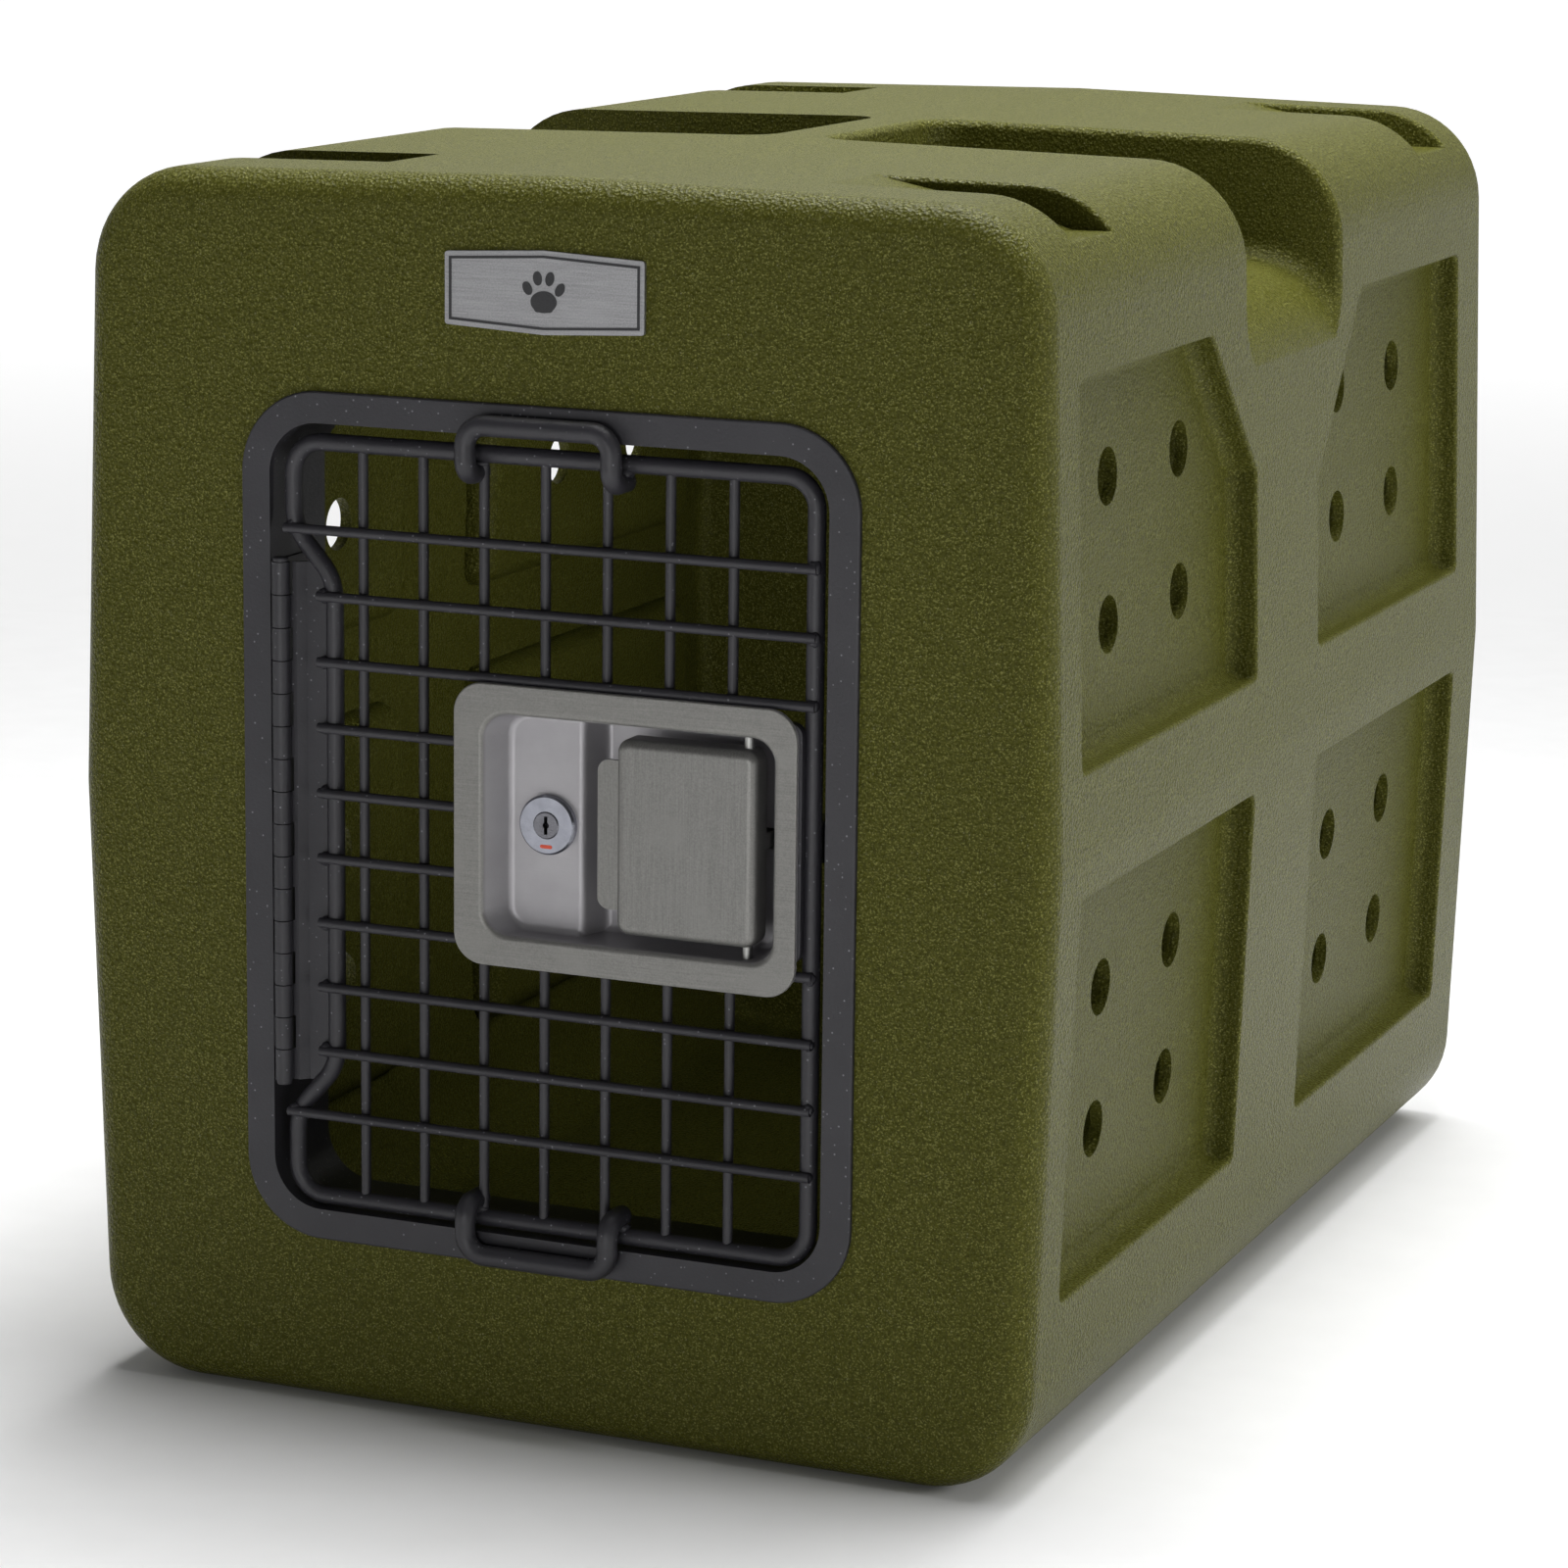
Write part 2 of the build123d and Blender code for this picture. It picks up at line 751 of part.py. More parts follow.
def door_stop(up):
    """Bent rod staple over the frame; up is 1 at the top of the door and -1 at the bottom."""
    edge_z = door_z + up * rod_half_height
    bar_z = edge_z + up * stop_offset
    hook_z = edge_z - up * (rod_r + stop_r - stop_bite)
    bar_depth = -sheet - stop_gap - stop_r
    bar_y = front_y + bar_depth
    hook_y = front_y + stop_hook_end
    with BuildPart() as stop:
        with BuildLine() as stop_line:
            FilletPolyline(
                (-stop_half_span, hook_y, hook_z),
                (-stop_half_span, bar_y, hook_z),
                (-stop_half_span, bar_y, bar_z),
                (stop_half_span, bar_y, bar_z),
                (stop_half_span, bar_y, hook_z),
                (stop_half_span, hook_y, hook_z),
                radius=[stop_hook_r, stop_bend_r, stop_bend_r, stop_hook_r],
            )
        with BuildSketch(Plane(origin=stop_line.line @ 0, z_dir=stop_line.line % 0)):
            Circle(stop_r)
        sweep()
        add(door_rod.part, mode=Mode.SUBTRACT)
        add(vertical_wires, mode=Mode.SUBTRACT)
    return stop.part


stop_top = door_stop(1)
stop_top.label = "stop_top"
export_step(stop_top, "parts/stop_top.step")

stop_bottom = door_stop(-1)
stop_bottom.label = "stop_bottom"
export_step(stop_bottom, "parts/stop_bottom.step")

# ---------------------------------------------------------------- latch plate and fasteners

flange_back = flange_front + sheet
plate_back = rod_depth - wire_r
plate_right = rod_half_width - rod_r + plate_weld

with BuildPart() as latch_plate:
    with BuildSketch(front_plane(flange_back)):
        with Locations(((plate_left + plate_right) / 2, (plate_bottom + plate_top) / 2)):
            RectangleRounded(plate_right - plate_left, plate_top - plate_bottom, plate_corner_r)
        window_left = pan_left - pan_sheet - window_play
        window_right = pan_right + pan_sheet + window_play
        window_top = pan_top + pan_sheet + window_play
        window_bottom = plate_bottom - 1
        with Locations(((window_left + window_right) / 2, (window_bottom + window_top) / 2)):
            Rectangle(window_right - window_left, window_top - window_bottom, mode=Mode.SUBTRACT)
        with Locations([(x, z) for x in latch_stud_columns for z in latch_stud_rows]):
            Circle(latch_stud_hole_r, mode=Mode.SUBTRACT)
    extrude(amount=flange_back - plate_back)
    add(door_rod.part, mode=Mode.SUBTRACT)

latch_plate.part.label = "latch_plate"
export_step(latch_plate.part, "parts/latch_plate.step")

with BuildPart() as latch_studs:
    with BuildSketch(front_plane(flange_back)):
        with Locations([(x, z) for x in latch_stud_columns for z in latch_stud_rows]):
            Circle(latch_stud_r)
    extrude(amount=flange_back - latch_stud_end)

latch_studs.part.label = "latch_studs"
export_step(latch_studs.part, "parts/latch_studs.step")

with BuildPart() as latch_nuts:
    with BuildSketch(front_plane(plate_back)):
        with Locations([(x, z) for x in latch_stud_columns for z in latch_stud_rows]):
            RegularPolygon(latch_nut_flats / 2, 6, major_radius=False, rotation=30)
            Circle(latch_stud_r + thread_play, mode=Mode.SUBTRACT)
    extrude(amount=-latch_nut_height)

latch_nuts.part.label = "latch_nuts"
export_step(latch_nuts.part, "parts/latch_nuts.step")

# ---------------------------------------------------------------- latch pan


def pan_block(grow, front):
    """Hollow of the pressed pan, grown by the sheet for its outside."""
    with BuildPart() as block:
        with BuildSketch(level_plane(pan_bottom - grow)):
            with BuildLine():
                Polyline(
                    (pan_left - grow, front),
                    (shelf_left - grow, shelf_depth + grow),
                    (shelf_right - grow, shelf_depth + grow),
                    (pan_step_x - grow, pan_depth + grow),
                    (pan_floor_right + grow, pan_depth + grow),
                    (pan_right + grow, front),
                    close=True,
                )
            make_face()
        extrude(amount=pan_top - pan_bottom + 2 * grow)
        ends = block.faces().filter_by(Axis.Z).edges()
        walls = ends.filter_by(lambda edge: edge.center().X < shelf_left or edge.center().X > pan_floor_right)
        fillet(walls, radius=pan_corner_r + grow)
        floors = block.faces().filter_by(Axis.Y).sort_by(Axis.Y)[1:]
        fillet(floors.edges(), radius=pan_floor_r)
    return block.part


with BuildPart() as latch_pan:
    with BuildSketch(front_plane(flange_back, x=flange_x, z=flange_z)):
        RectangleRounded(flange_width, flange_height, flange_r)
    extrude(amount=sheet)
    flange_rim = latch_pan.faces().sort_by(Axis.Y)[0].edges()
    fillet(flange_rim, radius=flange_edge_r)
    add(pan_block(pan_sheet, flange_back))
    add(pan_block(0, flange_front - 1), mode=Mode.SUBTRACT)
    fillet(latch_pan.faces().sort_by(Axis.Y)[0].inner_wires().edges(), radius=pan_rim_r)
    with BuildSketch(front_plane(0)):
        with Locations((lock_x, flange_z)):
            Circle(lock_body_r)
        with Locations(((tail_slot[0] + tail_slot[1]) / 2, bolt_z)):
            Rectangle(tail_slot[1] - tail_slot[0], tail_height + 2 * tail_play)
    extrude(amount=-(pan_depth + pan_sheet + 1), mode=Mode.SUBTRACT)
    with BuildSketch(level_plane(pan_bottom - pan_sheet - 1)):
        with Locations((paddle_pin_x, paddle_pin_depth)):
            Circle(paddle_pin_r)
    extrude(amount=pan_top - pan_bottom + 2 * pan_sheet + 2, mode=Mode.SUBTRACT)

latch_pan.part.label = "latch_pan"
export_step(latch_pan.part, "parts/latch_pan.step")

# ---------------------------------------------------------------- paddle

with BuildPart() as paddle:
    paddle_middle = (paddle_left + paddle_right) / 2
    paddle_width = paddle_right - paddle_left
    with BuildSketch(front_plane(flange_front, x=paddle_middle, z=bolt_z)):
        Rectangle(paddle_width, paddle_height)
    extrude(amount=-paddle_depth)
    fillet(paddle.edges().filter_by(Axis.Y), radius=paddle_corner_r)
    fillet(paddle.faces().sort_by(Axis.Y)[0].edges(), radius=paddle_edge_r)
    with BuildSketch(front_plane(flange_front + paddle_sheet, x=paddle_middle, z=bolt_z)):
        RectangleRounded(
            paddle_width - 2 * paddle_sheet, paddle_height - 2 * paddle_sheet, paddle_corner_r - paddle_sheet
        )
    extrude(amount=-paddle_depth, mode=Mode.SUBTRACT)
    lip_right = paddle_left + paddle_sheet
    with BuildSketch(front_plane(flange_front + lip_set_back, x=lip_right - lip_reach / 2, z=bolt_z)) as lip:
        Rectangle(lip_reach + paddle_sheet, lip_height)
        fillet(lip.vertices().group_by(Axis.X)[0], radius=lip_corner_r)
    extrude(amount=-paddle_sheet)
    with BuildSketch(level_plane(bolt_z - tail_height / 2)):
        tail_start = flange_front + paddle_sheet
        with Locations((paddle_pin_x, (tail_start + tail_end) / 2)):
            Rectangle(tail_width, tail_end - tail_start)
        with Locations((paddle_pin_x, paddle_pin_depth)):
            Circle(tail_boss_r)
    extrude(amount=tail_height)
    with BuildSketch(level_plane(bolt_z - paddle_height / 2 - 1)):
        with Locations((paddle_pin_x, paddle_pin_depth)):
            Circle(paddle_pin_r + pin_play)
    extrude(amount=paddle_height + 2, mode=Mode.SUBTRACT)

paddle.part.label = "paddle"
export_step(paddle.part, "parts/paddle.step")

with BuildPart() as paddle_pin:
    with BuildSketch(level_plane(pan_bottom - pan_sheet)):
        with Locations((paddle_pin_x, paddle_pin_depth)):
            Circle(paddle_pin_r)
    extrude(amount=pan_top - pan_bottom + 2 * pan_sheet)

paddle_pin.part.label = "paddle_pin"
export_step(paddle_pin.part, "parts/paddle_pin.step")

# ---------------------------------------------------------------- slam bolt

bolt_back = bolt_front + bolt_thickness
stem_depth = (bolt_front + bolt_back) / 2

with BuildPart() as slam_bolt:
    with BuildSketch(level_plane(bolt_z - bolt_height / 2)):
        with BuildLine():
            Polyline(
                (bolt_heel_x, bolt_front),
                (bolt_nose_x, bolt_front),
                (bolt_nose_x, bolt_back - bolt_bevel),
                (bolt_nose_x - bolt_bevel, bolt_back),
                (bolt_heel_x, bolt_back),
                close=True,
            )
        make_face()
    extrude(amount=bolt_height)
    with BuildSketch(front_plane(bolt_front, z=bolt_z)):
        with Locations(((bolt_pocket[0] + bolt_pocket[1]) / 2, 0)):
            Rectangle(bolt_pocket[1] - bolt_pocket[0], tail_height + 2 * tail_play)
    extrude(amount=-bolt_pocket_depth, mode=Mode.SUBTRACT)
    with BuildSketch(across_plane(stem_end_x)):
        with Locations((stem_depth, bolt_z)):
            Circle(stem_r)
    extrude(amount=bolt_heel_x - stem_end_x)

slam_bolt.part.label = "slam_bolt"
export_step(slam_bolt.part, "parts/slam_bolt.step")

guide_half = bolt_height / 2 + guide_play
guide_start = pan_depth + pan_sheet
guide_back = bolt_back + guide_play

with BuildPart() as bolt_guide:
    with BuildSketch(across_plane(guide_left)):
        with Locations(((guide_start + guide_back + guide_sheet) / 2, bolt_z)):
            Rectangle(guide_back + guide_sheet - guide_start, 2 * (guide_half + guide_sheet))
    extrude(amount=guide_right - guide_left)
    with BuildSketch(across_plane(guide_left + guide_sheet)):
        with Locations(((guide_start + guide_back) / 2, bolt_z)):
            Rectangle(guide_back - guide_start, 2 * guide_half)
    extrude(amount=guide_right - guide_left, mode=Mode.SUBTRACT)
    with BuildSketch(across_plane(guide_left - 1)):
        with Locations((stem_depth, bolt_z)):
            Circle(stem_r + guide_play)
    extrude(amount=guide_sheet + 2, mode=Mode.SUBTRACT)

bolt_guide.part.label = "bolt_guide"
export_step(bolt_guide.part, "parts/bolt_guide.step")

spring_start = guide_left + guide_sheet + spring_wire_r + spring_end_play
spring_length = bolt_heel_x - spring_wire_r - spring_end_play - spring_start

with BuildPart() as bolt_spring:
    with BuildLine() as coil:
        Helix(
            pitch=spring_length / spring_turns,
            height=spring_length,
            radius=spring_mean_r,
            center=(spring_start, front_y + stem_depth, bolt_z),
            direction=(1, 0, 0),
        )
    with BuildSketch(Plane(origin=coil.line @ 0, z_dir=coil.line % 0)):
        Circle(spring_wire_r)
    sweep()

bolt_spring.part.label = "bolt_spring"
export_step(bolt_spring.part, "parts/bolt_spring.step")

# ---------------------------------------------------------------- cam lock

with BuildPart() as lock_body:
    with BuildSketch(front_plane(shelf_depth, x=lock_x, z=flange_z)):
        Circle(lock_head_r)
    extrude(amount=lock_head_height)
    chamfer(lock_body.edges().sort_by(Axis.Y)[0], length=lock_head_chamfer)
    with BuildSketch(front_plane(shelf_depth, x=lock_x, z=flange_z)):
        Circle(lock_body_r)
    extrude(amount=-(lock_end - shelf_depth))
    with BuildSketch(front_plane(shelf_depth - lock_head_height - 1, x=lock_x, z=flange_z)):
        Circle(plug_r + plug_play)
    extrude(amount=-(lock_end - shelf_depth + lock_head_height + 2), mode=Mode.SUBTRACT)

lock_body.part.label = "lock_body"
export_step(lock_body.part, "parts/lock_body.step")

with BuildPart() as lock_mark:
    with BuildSketch(front_plane(shelf_depth - lock_head_height, x=lock_x, z=flange_z - lock_mark_drop)):
        SlotOverall(lock_mark_width, lock_mark_height)
    extrude(amount=lock_mark_relief)

lock_mark.part.label = "lock_mark"
export_step(lock_mark.part, "parts/lock_mark.step")

with BuildPart() as lock_nut:
    with BuildSketch(front_plane(shelf_depth + pan_sheet, x=lock_x, z=flange_z)):
        RegularPolygon(lock_nut_flats / 2, 6, major_radius=False, rotation=30)
        Circle(lock_body_r + thread_play, mode=Mode.SUBTRACT)
    extrude(amount=-lock_nut_height)

lock_nut.part.label = "lock_nut"
export_step(lock_nut.part, "parts/lock_nut.step")

plug_front = shelf_depth - lock_head_height - plug_proud
cam_front = lock_end + cam_gap
with BuildPart() as key_plug:
    with BuildSketch(front_plane(plug_front, x=lock_x, z=flange_z)):
        Circle(plug_r)
    extrude(amount=plug_front - cam_front)
    chamfer(key_plug.edges().sort_by(Axis.Y)[0], length=plug_chamfer)
    with BuildSketch(front_plane(plug_front, x=lock_x, z=flange_z)):
        Rectangle(*keyway)
        Circle(keyway_round_r)
    extrude(amount=-keyway_depth, mode=Mode.SUBTRACT)

key_plug.part.label = "key_plug"
export_step(key_plug.part, "parts/key_plug.step")

with BuildPart() as lock_cam:
    with BuildSketch(front_plane(cam_front, x=lock_x, z=flange_z)):
        Circle(cam_hub_r)
        with Locations((0, -(cam_length - cam_tip_r) / 2)):
            Rectangle(2 * cam_tip_r, cam_length - cam_tip_r)
        with Locations((0, cam_tip_r - cam_length)):
            Circle(cam_tip_r)
    extrude(amount=-cam_sheet)

lock_cam.part.label = "lock_cam"
export_step(lock_cam.part, "parts/lock_cam.step")

with BuildPart() as cam_screw:
    with BuildSketch(front_plane(cam_front + cam_sheet, x=lock_x, z=flange_z)):
        Circle(cam_screw_r)
    extrude(amount=-cam_screw_height)
    with BuildSketch(front_plane(cam_front + cam_sheet + cam_screw_height, x=lock_x, z=flange_z)):
        Rectangle(2 * cam_screw_r, cam_screw_slot)
    extrude(amount=cam_screw_slot, mode=Mode.SUBTRACT)

cam_screw.part.label = "cam_screw"
export_step(cam_screw.part, "parts/cam_screw.step")
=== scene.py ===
"""Looks of the travel kennel: materials, weld beads, floor, studio light and camera.

Everything is in metres in the CAD frame: +X right, +Y to the rear, +Z up.
"""

import json
import math
import random

import bmesh
import bpy
from mathutils import Matrix, Vector, noise


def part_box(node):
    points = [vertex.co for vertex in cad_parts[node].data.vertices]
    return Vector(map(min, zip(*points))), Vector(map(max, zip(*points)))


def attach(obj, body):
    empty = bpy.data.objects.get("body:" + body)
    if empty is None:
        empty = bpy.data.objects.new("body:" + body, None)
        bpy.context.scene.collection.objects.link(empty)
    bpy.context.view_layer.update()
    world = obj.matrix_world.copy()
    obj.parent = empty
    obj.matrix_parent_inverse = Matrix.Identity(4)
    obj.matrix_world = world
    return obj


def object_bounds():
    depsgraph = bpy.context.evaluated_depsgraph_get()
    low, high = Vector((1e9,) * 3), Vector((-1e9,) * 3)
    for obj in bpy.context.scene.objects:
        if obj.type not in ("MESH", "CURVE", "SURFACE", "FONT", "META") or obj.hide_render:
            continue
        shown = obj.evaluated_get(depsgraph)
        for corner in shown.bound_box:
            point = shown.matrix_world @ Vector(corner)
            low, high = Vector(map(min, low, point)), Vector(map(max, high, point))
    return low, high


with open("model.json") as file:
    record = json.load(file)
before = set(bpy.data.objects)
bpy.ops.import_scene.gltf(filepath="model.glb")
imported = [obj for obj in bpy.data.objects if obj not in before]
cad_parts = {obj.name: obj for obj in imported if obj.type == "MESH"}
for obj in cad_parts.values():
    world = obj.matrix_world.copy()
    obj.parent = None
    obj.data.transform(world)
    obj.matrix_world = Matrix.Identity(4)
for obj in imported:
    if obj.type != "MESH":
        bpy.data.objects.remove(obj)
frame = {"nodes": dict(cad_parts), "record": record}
cad_low, cad_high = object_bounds()
nodes = frame["nodes"]

# Weld beads
wire_end_inset = 0.0021
rod_bead_offset = 0.0006
bead_set_back = 0.0012
bead_scatter = 0.0006
wire_bead = (0.0024, 0.0024, 0.0026)
stop_bead = (0.0050, 0.0036, 0.0026)
stop_bead_inset = 0.004

# Plastic grain: features per metre, and depths
pebble_scale = 680.0
grain_scale = 1300.0
wave_depth = 0.0012
pebble_depth = 0.00055
grain_depth = 0.00038

# Grain of brushed steel: features per metre along and across it
line_density = 60.0
cross_density = 2200.0

# Floor, with the distances between which it goes over to white
floor_radius = 40.0
floor_sides = 64
floor_gap = 0.0005
white_from = 1.0
white_to = 3.5
white_glow = 0.42

# Surroundings: brightness towards the front and towards the rear
front_glow = 0.06
rear_glow = 0.4

# Camera
camera_eye = (0.7739, -1.9068, 0.6329)
camera_turn = math.radians(22.718)
camera_dip = math.radians(10.82)
camera_roll = math.radians(0.69)
camera_lens = 112.24
camera_sensor = 36.0
camera_shift = (-0.0016, -0.058)


# ---------------------------------------------------------------- node helpers


class Shader:
    """A material with one Principled shader, and short calls that add nodes to it."""

    def __init__(self, name, **sockets):
        self.material = bpy.data.materials.new(name)
        self.material.use_nodes = True
        self.tree = self.material.node_tree
        self.surface = self.tree.nodes["Principled BSDF"]
        for socket, value in sockets.items():
            self.set(socket.replace("_", " "), value)
        self.place = self.tree.nodes.new("ShaderNodeTexCoord").outputs["Object"]

    def set(self, socket, value):
        """Gives the Principled shader a plain value or a link."""
        target = self.surface.inputs[socket]
        if isinstance(value, bpy.types.NodeSocket):
            self.tree.links.new(value, target)
        else:
            target.default_value = value

    def fill(self, node, inputs):
        """Sets or links the inputs of a node, by name or by number."""
        for key, value in inputs.items():
            if isinstance(value, bpy.types.NodeSocket):
                self.tree.links.new(value, node.inputs[key])
            else:
                node.inputs[key].default_value = value
        return node

    def noise(self, scale, detail=2.0, rough=0.5, place=None):
        """Noise value at a scale in features per metre."""
        node = self.tree.nodes.new("ShaderNodeTexNoise")
        inputs = {"Vector": place or self.place, "Scale": scale, "Detail": detail, "Roughness": rough}
        return self.fill(node, inputs).outputs["Fac"]

    def cells(self, scale, feature="F1", smooth=None):
        """Voronoi node, for its distance and its random colour per cell."""
        node = self.tree.nodes.new("ShaderNodeTexVoronoi")
        node.feature = feature
        inputs = {"Vector": self.place, "Scale": scale}
        if smooth is not None:
            inputs["Smoothness"] = smooth
        return self.fill(node, inputs)

    def stretch(self, factors):
        """Object coordinates scaled per axis, for grain that runs one way."""
        node = self.tree.nodes.new("ShaderNodeMapping")
        return self.fill(node, {"Vector": self.place, "Scale": factors}).outputs["Vector"]

    def math(self, operation, first, second):
        """One Math node."""
        node = self.tree.nodes.new("ShaderNodeMath")
        node.operation = operation
        return self.fill(node, {0: first, 1: second}).outputs[0]

    def steps(self, value, low, high, to_low=0.0, to_high=1.0):
        """Value remapped from one range to another, clamped."""
        node = self.tree.nodes.new("ShaderNodeMapRange")
        inputs = {"Value": value, "From Min": low, "From Max": high, "To Min": to_low, "To Max": to_high}
        return self.fill(node, inputs).outputs["Result"]

    def blend(self, share, first, second):
        """Colour between two colours."""
        node = self.tree.nodes.new("ShaderNodeMix")
        node.data_type = "RGBA"
        self.fill(node, {0: share, 6: first, 7: second})
        return node.outputs[2]

    def bump(self, height, distance, below=None):
        """Bump of a height field, its depth in metres, over an earlier bump."""
        node = self.tree.nodes.new("ShaderNodeBump")
        inputs = {"Height": height, "Distance": distance, "Strength": 1.0}
        if below is not None:
            inputs["Normal"] = below
        return self.fill(node, inputs).outputs["Normal"]

    def flecks(self, scale, rare_from, rare_to, edge_from, edge_to):
        """Scattered round flecks: a few random cells, each filled near its middle."""
        cells = self.cells(scale)
        split = self.tree.nodes.new("ShaderNodeSeparateColor")
        self.fill(split, {"Color": cells.outputs["Color"]})
        rare = self.steps(split.outputs["Red"], rare_from, rare_to)
        return self.math("MULTIPLY", rare, self.steps(cells.outputs["Distance"], edge_from, edge_to))


def rgb(red, green, blue):
    """Linear colour with full alpha."""
    return (red, green, blue, 1.0)


def share_of(colour, share):
    """A darker version of a colour."""
    return rgb(*[value * share for value in colour])


# ---------------------------------------------------------------- materials


def moulded_plastic():
    """Olive rotomoulded polyethylene: pebble grain, slow waviness, and fine pale speckle and flecks that
    are painted glints.
    """
    look = Shader("olive_polyethylene", IOR=1.16, Specular_IOR_Level=0.55)
    pebble = look.cells(pebble_scale, "SMOOTH_F1", 0.5).outputs["Distance"]
    grain = look.noise(grain_scale, 2.0, 0.6)
    wave = look.noise(11.0, 2.0, 0.5)
    cloud = look.noise(4.0, 3.0, 0.55)
    # Rare pale flecks: painted glints of the grain
    painted_glint_flecks = look.flecks(900.0, 0.96, 0.97, 0.34, 0.22)
    base = look.blend(look.steps(cloud, 0.3, 0.7), rgb(0.073, 0.0735, 0.0105), rgb(0.084, 0.0845, 0.0125))
    shade = look.blend(look.steps(pebble, 0.15, 0.75), base, rgb(0.05, 0.051, 0.006))
    # Pale speckle where the grain noise is high: painted glints of the grain
    painted_glints = look.blend(look.steps(grain, 0.54, 0.68, 0.0, 0.9), shade, rgb(0.2, 0.201, 0.056))
    look.set("Base Color", look.blend(look.math("MULTIPLY", painted_glint_flecks, 0.35), painted_glints, rgb(0.3, 0.3, 0.18)))
    look.set("Roughness", look.steps(grain, 0.3, 0.7, 0.24, 0.38))
    slow = look.bump(wave, wave_depth)
    coarse = look.bump(pebble, pebble_depth, slow)
    look.set("Normal", look.bump(grain, grain_depth, coarse))
    return look.material


def powder_coat():
    """Black satin powder coat: orange peel, a faint blue cast and pale dust flecks."""
    look = Shader("black_powder_coat", IOR=1.5)
    peel = look.noise(800.0, 2.0, 0.5)
    fine = look.noise(2600.0, 2.0, 0.6)
    cloud = look.noise(25.0, 3.0, 0.6)
    dust = look.flecks(650.0, 0.9, 0.92, 0.3, 0.15)
    base = look.blend(look.steps(cloud, 0.3, 0.7), rgb(0.018, 0.0172, 0.0215), rgb(0.028, 0.027, 0.0325))
    look.set("Base Color", look.blend(look.math("MULTIPLY", dust, 0.75), base, rgb(0.22, 0.22, 0.24)))
    look.set("Roughness", look.steps(fine, 0.3, 0.7, 0.4, 0.55))
    look.set("Normal", look.bump(fine, 0.00004, look.bump(peel, 0.00012)))
    return look.material


def satin_steel(name, along, colour, rough, metallic, deep=None):
    """Satin stainless sheet with grain along one axis; past a depth along Y it is paler."""
    look = Shader(name, Metallic=metallic)
    factors = [line_density if axis == along else cross_density for axis in "xyz"]
    lines = look.noise(1.0, 3.0, 0.6, look.stretch(factors))
    speck = look.noise(1500.0, 2.0, 0.7)
    cloud = look.noise(38.0, 3.0, 0.6)
    dark = share_of(colour, 0.64)
    tone = look.math("ADD", look.math("MULTIPLY", lines, 0.45), look.math("MULTIPLY", speck, 0.55))
    shade = look.blend(look.steps(tone, 0.35, 0.65), dark, rgb(*colour))
    shade = look.blend(look.steps(cloud, 0.55, 0.75), shade, share_of(colour, 0.9))
    if deep is not None:
        split = look.tree.nodes.new("ShaderNodeSeparateXYZ")
        look.fill(split, {0: look.place})
        inside = look.steps(split.outputs["Y"], deep, deep + 0.0015)
        pressed = look.blend(look.steps(cloud, 0.3, 0.7), rgb(0.40, 0.39, 0.405), rgb(0.35, 0.34, 0.355))
        shade = look.blend(inside, shade, pressed)
    look.set("Base Color", shade)
    look.set("Roughness", look.steps(tone, 0.35, 0.65, rough - 0.06, rough + 0.08))
    look.set("Normal", look.bump(speck, 0.00003, look.bump(lines, 0.00003)))
    return look.material


def bright_plate(name, colour, rough):
    """Bright plating: slight clouding and fine polishing marks."""
    look = Shader(name, Metallic=1.0)
    cloud = look.noise(160.0, 3.0, 0.6)
    marks = look.noise(1.0, 2.0, 0.6, look.stretch((400.0, 400.0, 2600.0)))
    look.set("Base Color", look.blend(look.steps(cloud, 0.3, 0.7), share_of(colour, 0.75), rgb(*colour)))
    look.set("Roughness", look.steps(marks, 0.3, 0.7, rough, rough + 0.1))
    look.set("Normal", look.bump(marks, 0.00002))
    return look.material


def printed(name, colour, other, rough):
    """Thin paint or print with a fine mottle."""
    look = Shader(name, IOR=1.5)
    mottle = look.noise(1800.0, 2.0, 0.6)
    look.set("Base Color", look.blend(look.steps(mottle, 0.35, 0.65), rgb(*colour), rgb(*other)))
    look.set("Roughness", look.steps(mottle, 0.3, 0.7, rough, rough + 0.12))
    look.set("Normal", look.bump(mottle, 0.00003))
    return look.material


plastic = moulded_plastic()
coat = powder_coat()
flange_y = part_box("latch_pan")[0].y
sheet_steel = satin_steel("stainless_flange", "x", (0.258, 0.254, 0.239), 0.42, 0.5, flange_y + 0.0005)
paddle_steel = satin_steel("stainless_paddle", "z", (0.25, 0.247, 0.234), 0.42, 0.7)
chrome = bright_plate("lock_chrome", (0.36, 0.37, 0.42), 0.16)
plug_chrome = bright_plate("plug_chrome", (0.2, 0.2, 0.22), 0.24)
zinc = bright_plate("zinc_steel", (0.4, 0.4, 0.385), 0.34)
badge_face = satin_steel("badge_silver", "x", (0.4, 0.4, 0.41), 0.42, 0.8)
badge_ink = printed("badge_ink", (0.012, 0.012, 0.014), (0.022, 0.022, 0.025), 0.42)
mark_paint = printed("mark_paint", (0.62, 0.05, 0.02), (0.72, 0.09, 0.03), 0.35)

by_slot = {
    "olive_polyethylene": plastic,
    "black_powder_coat": coat,
    "stainless": sheet_steel,
    "lock_chrome": chrome,
    "lock_paint": mark_paint,
    "zinc_steel": zinc,
    "badge_silver": badge_face,
    "badge_ink": badge_ink,
}
own_material = {"paddle": paddle_steel, "key_plug": plug_chrome}
for part in frame["record"]["subparts"]:
    piece = nodes[part["node"]]
    piece.data.materials.clear()
    piece.data.materials.append(own_material.get(part["node"], by_slot[part["material_slot"]]))


# ---------------------------------------------------------------- weld beads


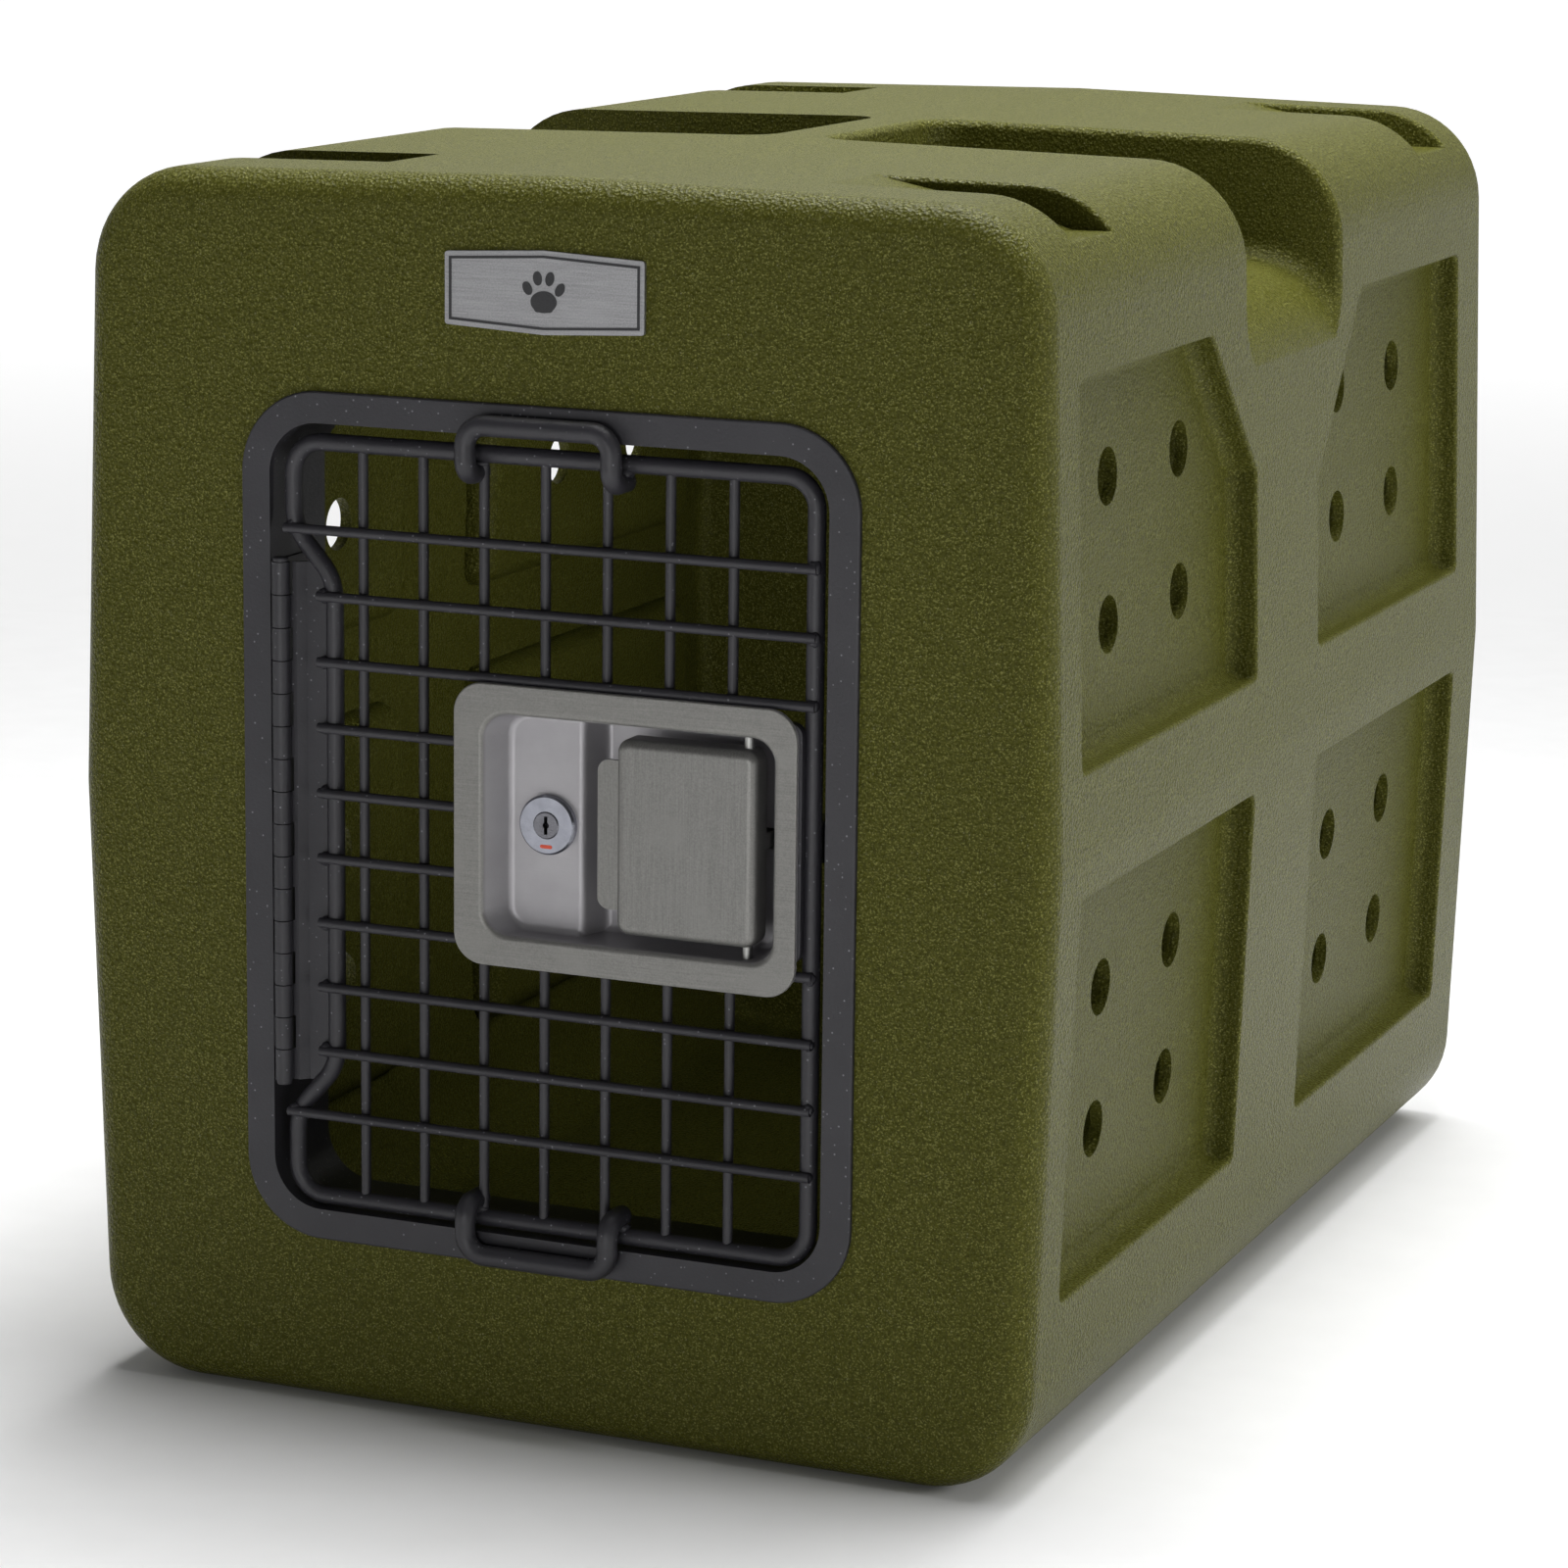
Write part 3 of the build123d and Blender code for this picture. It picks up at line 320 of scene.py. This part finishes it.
def bead(form, centre, radii, seed):
    """Adds one lumpy drop of weld to a mesh under construction."""
    made = bmesh.ops.create_icosphere(form, subdivisions=3, radius=1.0)
    shift = Vector((seed * 7.3, seed * 3.1, seed * 5.7))
    for vertex in made["verts"]:
        broad = 0.22 * noise.noise(vertex.co * 1.7 + shift)
        swell = 1.0 + broad + 0.08 * noise.noise(vertex.co * 4.5 + shift)
        vertex.co = Vector(centre) + Vector([a * b * swell for a, b in zip(vertex.co, radii)])


def welds():
    """Beads where the wires and stops are welded to the door's rod."""
    form = bmesh.new()
    pick = random.Random(5)
    rod_low, rod_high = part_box("door_rod")
    rod_y = (rod_low.y + rod_high.y) / 2
    rod_r = (rod_high.y - rod_low.y) / 2
    seed = 0
    for name in sorted(nodes):
        if not name.startswith("horizontal_wire_"):
            continue
        low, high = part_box(name)
        middle = (low + high) / 2
        ends = [low.x + wire_end_inset]
        if high.x > rod_high.x - 2 * rod_r:
            ends.append(rod_high.x - rod_r + rod_bead_offset)
        for x in ends:
            seed += 1
            size = pick.uniform(0.85, 1.15)
            centre = (x, middle.y + bead_set_back, middle.z + pick.uniform(-bead_scatter, bead_scatter))
            bead(form, centre, (wire_bead[0] * size, wire_bead[1], wire_bead[2] * size), seed)
    for name, edge, side in (("stop_top", rod_high.z, -1), ("stop_bottom", rod_low.z, 1)):
        low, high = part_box(name)
        for x in (low.x + stop_bead_inset, high.x - stop_bead_inset):
            seed += 1
            bead(form, (x, rod_y, edge + side * 2 * rod_r), stop_bead, seed)
    mesh = bpy.data.meshes.new("weld_beads")
    form.to_mesh(mesh)
    form.free()
    for face in mesh.polygons:
        face.use_smooth = True
    mesh.materials.append(coat)
    piece = bpy.data.objects.new("weld_beads", mesh)
    bpy.context.collection.objects.link(piece)
    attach(piece, "door")


welds()

# ---------------------------------------------------------------- floor, light and camera


def floor_disc():
    """Pale floor, large enough to fill the view behind the object."""
    mesh = bpy.data.meshes.new("floor")
    floor = bpy.data.objects.new("floor", mesh)
    bpy.context.collection.objects.link(floor)
    form = bmesh.new()
    bmesh.ops.create_circle(form, cap_ends=True, radius=floor_radius, segments=floor_sides)
    form.to_mesh(mesh)
    form.free()
    floor.location.z = cad_low.z - floor_gap
    look = Shader("floor_paper", IOR=1.4)
    mottle = look.steps(look.noise(30.0), 0.3, 0.7)
    look.set("Base Color", look.blend(mottle, rgb(0.86, 0.86, 0.86), rgb(0.88, 0.88, 0.88)))
    look.set("Roughness", 0.9)
    reach = look.tree.nodes.new("ShaderNodeVectorMath")
    reach.operation = "LENGTH"
    look.fill(reach, {0: look.place})
    look.set("Emission Color", rgb(1.0, 1.0, 1.0))
    look.set("Emission Strength", look.steps(reach.outputs["Value"], white_from, white_to, 0.0, white_glow))
    mesh.materials.append(look.material)


def softbox(name, place, target, size, power):
    """Square area light aimed at a point."""
    data = bpy.data.lights.new(name, "AREA")
    data.size = size
    data.energy = power
    lamp = bpy.data.objects.new(name, data)
    bpy.context.collection.objects.link(lamp)
    lamp.location = place
    aim = Vector(target) - Vector(place)
    lamp.rotation_euler = aim.to_track_quat("-Z", "Y").to_euler()
    lamp.visible_camera = False


def studio():
    """Dim front and bright rear surroundings, a broad key from above, and fills at the front and right."""
    world = bpy.data.worlds.new("studio")
    world.use_nodes = True
    tree = world.node_tree
    place = tree.nodes.new("ShaderNodeTexCoord")
    split = tree.nodes.new("ShaderNodeSeparateXYZ")
    ramp = tree.nodes.new("ShaderNodeMapRange")
    levels = {"From Min": -0.6, "From Max": 0.9, "To Min": front_glow, "To Max": rear_glow}
    for socket, value in levels.items():
        ramp.inputs[socket].default_value = value
    tree.links.new(place.outputs["Generated"], split.inputs[0])
    tree.links.new(split.outputs["Y"], ramp.inputs["Value"])
    tree.links.new(ramp.outputs[0], tree.nodes["Background"].inputs["Strength"])
    tree.nodes["Background"].inputs["Color"].default_value = rgb(1.0, 1.0, 1.0)
    bpy.context.scene.world = world
    sun = bpy.data.lights.new("key", "SUN")
    sun.energy = 1.7
    sun.angle = math.radians(45)
    key = bpy.data.objects.new("key", sun)
    bpy.context.collection.objects.link(key)
    key.rotation_euler = Vector((-0.2, -0.3, -1.0)).to_track_quat("-Z", "Y").to_euler()
    softbox("top_fill", (0.0, 0.1, 1.35), (0.0, 0.0, 0.48), 0.8, 19)
    softbox("right_fill", (1.8, 0.0, 0.7), (0.2, 0.0, 0.3), 0.6, 9)
    softbox("front_fill", (0.3, -2.3, 0.3), (0.0, 0.0, 0.15), 0.35, 6.5)
    softbox("cabin_fill", (0.1, -0.05, 0.3), (-0.18, 0.15, 0.3), 0.12, 0.35)


def camera():
    """Camera before the door, to its right and a little above."""
    reach = math.cos(camera_dip)
    ahead = Vector((-math.sin(camera_turn) * reach, math.cos(camera_turn) * reach, -math.sin(camera_dip)))
    level = Vector((math.cos(camera_turn), math.sin(camera_turn), 0.0))
    upright = level.cross(ahead)
    right = level * math.cos(camera_roll) + upright * math.sin(camera_roll)
    up = upright * math.cos(camera_roll) - level * math.sin(camera_roll)
    data = bpy.data.cameras.new("camera")
    data.lens = camera_lens
    data.sensor_width = camera_sensor
    data.shift_x = camera_shift[0]
    data.shift_y = camera_shift[1]
    eye = bpy.data.objects.new("camera", data)
    bpy.context.collection.objects.link(eye)
    eye.matrix_world = Matrix.Translation(camera_eye) @ Matrix(
        ((right.x, up.x, -ahead.x), (right.y, up.y, -ahead.y), (right.z, up.z, -ahead.z))
    ).to_4x4()
    bpy.context.scene.camera = eye


floor_disc()
studio()
camera()
bpy.context.scene.view_settings.view_transform = "Standard"
